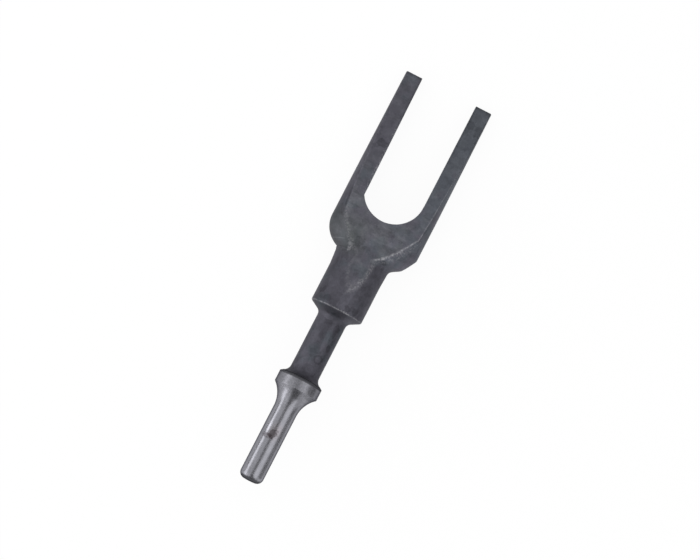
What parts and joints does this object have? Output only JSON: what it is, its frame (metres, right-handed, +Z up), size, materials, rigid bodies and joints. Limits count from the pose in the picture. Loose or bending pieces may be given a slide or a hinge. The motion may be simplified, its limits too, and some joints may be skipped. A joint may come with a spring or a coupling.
{
  "type": "air hammer fork chisel",
  "caption": "Forged steel fork chisel for an air hammer: a collared round shank behind a wedge-shaped fork that drives ball joints and tie rod ends apart.",
  "frame": {"origin": "centre of the bounding box's bottom face. The tool lies as it does in the picture, on the lower face of its wedge, with its shank held up off the ground by the wedge's angle", "axes": "+Y along the tool towards the tips of the tines, +X across the fork towards the right tine, +Z up. The tool's own axis drops 5.3 degrees towards +Y"},
  "size_m": [0.0396, 0.1778, 0.025],
  "materials": {
    "ground_steel": "turned and ground, with fine rings round it",
    "forge_scale": "dark forging scale, worn bright along its edges"
  },
  "bodies": {
    "root": {"shank": "ground_steel", "collar": "ground_steel", "neck": "forge_scale", "body": "forge_scale", "yoke": "forge_scale", "left_tine": "forge_scale", "right_tine": "forge_scale"}
  },
  "joints": []
}
